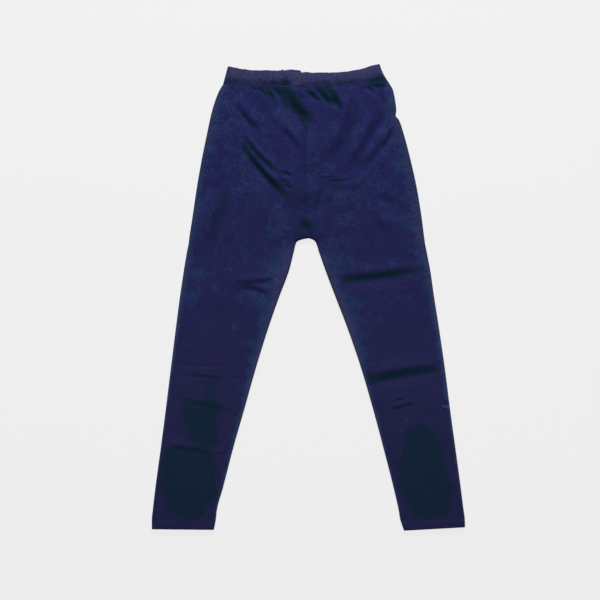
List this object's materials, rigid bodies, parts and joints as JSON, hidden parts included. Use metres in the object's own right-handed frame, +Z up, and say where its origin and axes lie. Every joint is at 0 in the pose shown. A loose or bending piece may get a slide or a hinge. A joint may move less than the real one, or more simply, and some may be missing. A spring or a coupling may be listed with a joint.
{
  "type": "leggings laid flat",
  "caption": "Full-length knitted leggings laid flat front up, with an elastic casing at the waist, a centre seam, two tapered legs and turned hems.",
  "frame": {"origin": "centre of the overall box in plan, on the surface that the leggings lie on", "axes": "+X towards the wearer's left, +Y from the hems towards the waist, +Z up from the surface, out of the front"},
  "size_m": [0.5946, 0.8854, 0.0097],
  "materials": {
    "knit": "fine stretch jersey, matt with a soft sheen",
    "casing": "the same jersey, doubled over elastic",
    "hem": "the same jersey, turned and cover-stitched"
  },
  "bodies": {
    "root": {"leg_right": "knit", "leg_left": "knit", "waistband": "casing", "hem_right": "hem", "hem_left": "hem"}
  },
  "joints": []
}
